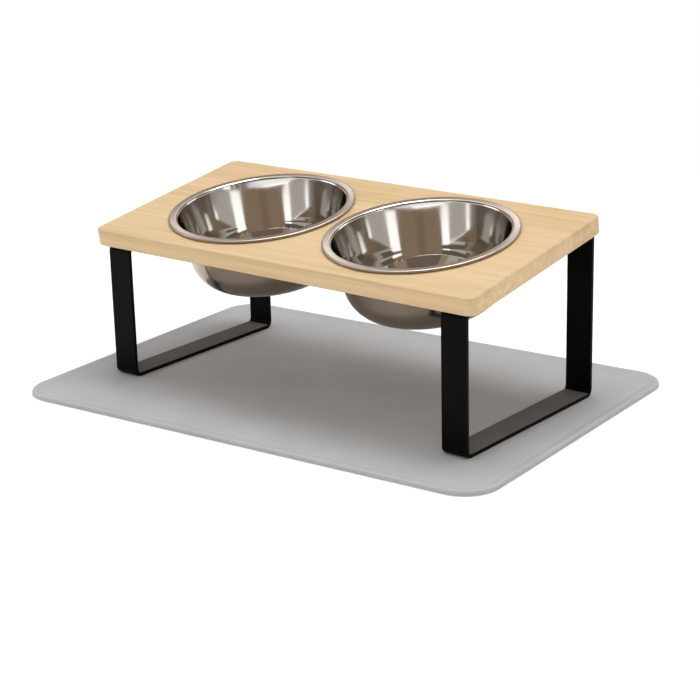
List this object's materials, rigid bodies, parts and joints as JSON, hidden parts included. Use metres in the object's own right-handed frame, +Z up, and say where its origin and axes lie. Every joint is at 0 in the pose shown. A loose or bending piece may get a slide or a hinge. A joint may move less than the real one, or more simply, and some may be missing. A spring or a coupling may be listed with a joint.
{
  "type": "elevated cat bowl stand",
  "caption": "Sloping bamboo board on black strip-steel legs, holding round steel bowls in cut-outs to raise a cat's food and water, standing on a lipped grey silicone mat.",
  "frame": {"origin": "centre of the feeding mat's underside", "axes": "+X along the board's length, +Y towards the raised rear edge, +Z up"},
  "size_m": [0.4794, 0.3464, 0.1627],
  "materials": {
    "bamboo": "satin clear lacquer over laminated bamboo, grain along the board",
    "black_powder_coat": "satin black powder coat on flat steel strip",
    "black_zinc": "black zinc plated screws",
    "stainless_steel": "polished stainless steel with a satin flange",
    "grey_silicone": "matte moulded silicone"
  },
  "bodies": {
    "mat": {"feeding_mat": "grey_silicone"},
    "stand": {"bamboo_board": "bamboo", "left_leg": "black_powder_coat", "right_leg": "black_powder_coat", "left_leg_screws": "black_zinc", "right_leg_screws": "black_zinc"},
    "left_bowl": {"left_bowl": "stainless_steel"},
    "right_bowl": {"right_bowl": "stainless_steel"}
  },
  "joints": [
    {"name": "stand_lift", "type": "slide", "parent": "mat", "child": "stand", "axis": [0, 0, 1], "range_m": [0, 0.1]},
    {"name": "left_bowl_lift", "type": "slide", "parent": "stand", "child": "left_bowl", "axis": [0, -0.1478, 0.989], "range_m": [0, 0.08]},
    {"name": "right_bowl_lift", "type": "slide", "parent": "stand", "child": "right_bowl", "axis": [0, -0.1478, 0.989], "range_m": [0, 0.08]}
  ]
}
